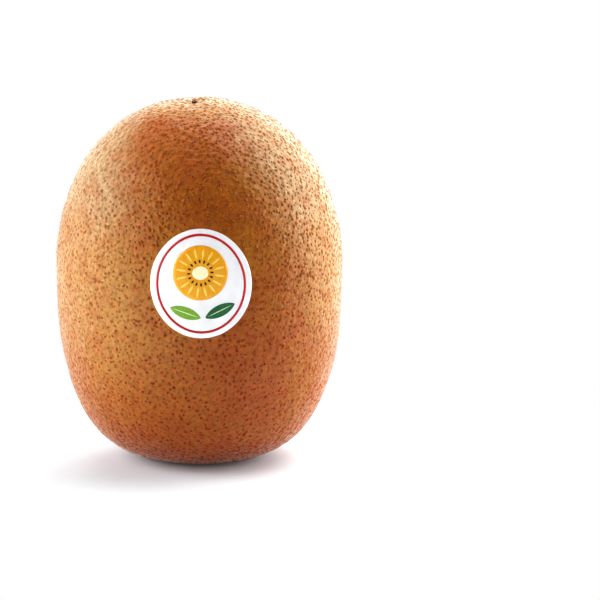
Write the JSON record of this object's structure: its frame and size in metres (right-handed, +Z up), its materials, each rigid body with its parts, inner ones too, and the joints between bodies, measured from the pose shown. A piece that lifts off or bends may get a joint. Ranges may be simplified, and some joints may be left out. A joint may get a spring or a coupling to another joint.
{
  "type": "golden kiwi fruit",
  "caption": "Whole golden kiwi fruit standing on its stalk end, with a small oval paper label stuck to its front.",
  "frame": {"origin": "on the surface that the fruit stands on, under the middle of its box", "axes": "+Z up along the fruit's axis from the stalk end to the blossom end, +X across its broad way, and the label faces -Y"},
  "size_m": [0.0566, 0.0534, 0.0718],
  "materials": {
    "skin": "satin",
    "label_paper": "satin"
  },
  "bodies": {
    "root": {"fruit": "skin", "label": "label_paper"}
  },
  "joints": []
}
